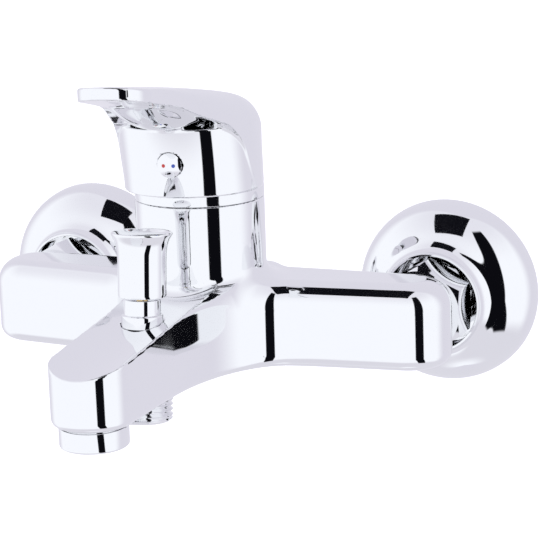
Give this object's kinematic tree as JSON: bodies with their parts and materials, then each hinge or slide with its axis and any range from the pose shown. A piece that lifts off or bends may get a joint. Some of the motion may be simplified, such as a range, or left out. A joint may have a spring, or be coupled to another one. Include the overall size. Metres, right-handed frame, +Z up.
{
  "type": "wall mounted bath mixer faucet",
  "caption": "Chrome wall mounted single-lever bath faucet with round wall covers, a pull-up diverter, a hose outlet below the spout and an aerator.",
  "frame": {"origin": "on the finished wall, midway between the hot and cold inlet axes, level with the body's arms", "axes": "+X to the right for a person facing the wall, +Y into the wall, +Z up"},
  "size_m": [0.22, 0.1844, 0.1328],
  "materials": {
    "chrome": "polished chrome plate",
    "brass": "machined",
    "rubber": "matt",
    "cartridge_plastic": "moulded",
    "ceramic": "lapped alumina ceramic",
    "steel": "bright stainless",
    "aerator_plastic": "moulded",
    "red_enamel": "glossy enamel",
    "blue_enamel": "glossy enamel"
  },
  "bodies": {
    "fixed": {"body_casting": "chrome", "cartridge_port_seals": "rubber", "cartridge_base": "cartridge_plastic", "fixed_ceramic_disc": "ceramic", "cartridge_housing": "cartridge_plastic", "cartridge_nut": "brass", "cover_ring": "chrome", "diverter_bonnet": "chrome", "diverter_stem_seal": "rubber", "diverter_spring": "steel", "hose_nipple": "chrome", "aerator_housing": "chrome", "aerator_insert": "aerator_plastic", "aerator_screen": "steel", "aerator_washer": "rubber", "left_inlet_collar": "brass", "left_union_nut": "chrome", "left_union_washer": "rubber", "left_wall_union": "chrome", "left_escutcheon": "chrome", "right_inlet_collar": "brass", "right_union_nut": "chrome", "right_union_washer": "rubber", "right_wall_union": "chrome", "right_escutcheon": "chrome"},
    "swing": {"stem_guide": "cartridge_plastic", "stem_pivot_pin": "steel"},
    "lever": {"lever_handle": "chrome", "cartridge_stem": "brass", "lever_set_screw": "steel", "index_button": "chrome", "hot_index_dot": "red_enamel", "cold_index_dot": "blue_enamel"},
    "disc": {"moving_ceramic_disc": "ceramic", "disc_carrier": "cartridge_plastic"},
    "diverter": {"diverter_knob": "chrome", "diverter_stem": "brass", "diverter_piston": "brass"}
  },
  "joints": [
    {"name": "lever_swing", "type": "hinge", "parent": "fixed", "child": "swing", "pos_m": [0, -0.0633, 0.038], "axis": [0, 0, 1], "range_deg": [-52, 38]},
    {"name": "lever_lift", "type": "hinge", "parent": "swing", "child": "lever", "pos_m": [0, -0.0633, 0.038], "axis": [-0.9925, -0.1219, 0], "range_deg": [0, 20]},
    {"name": "disc_slide", "type": "slide", "parent": "swing", "child": "disc", "axis": [0.1219, -0.9925, 0], "range_m": [0, 0.0062]},
    {"name": "diverter_pull", "type": "slide", "parent": "fixed", "child": "diverter", "axis": [0, 0.0872, 0.9962], "range_m": [0, 0.008], "stiffness_N_per_m": 150, "springref_m": -0.01, "deforming": ["diverter_spring"]}
  ],
  "couplings": [
    {"joint": "disc_slide", "follows": "lever_lift", "m_per_rad": 0.0173}
  ]
}
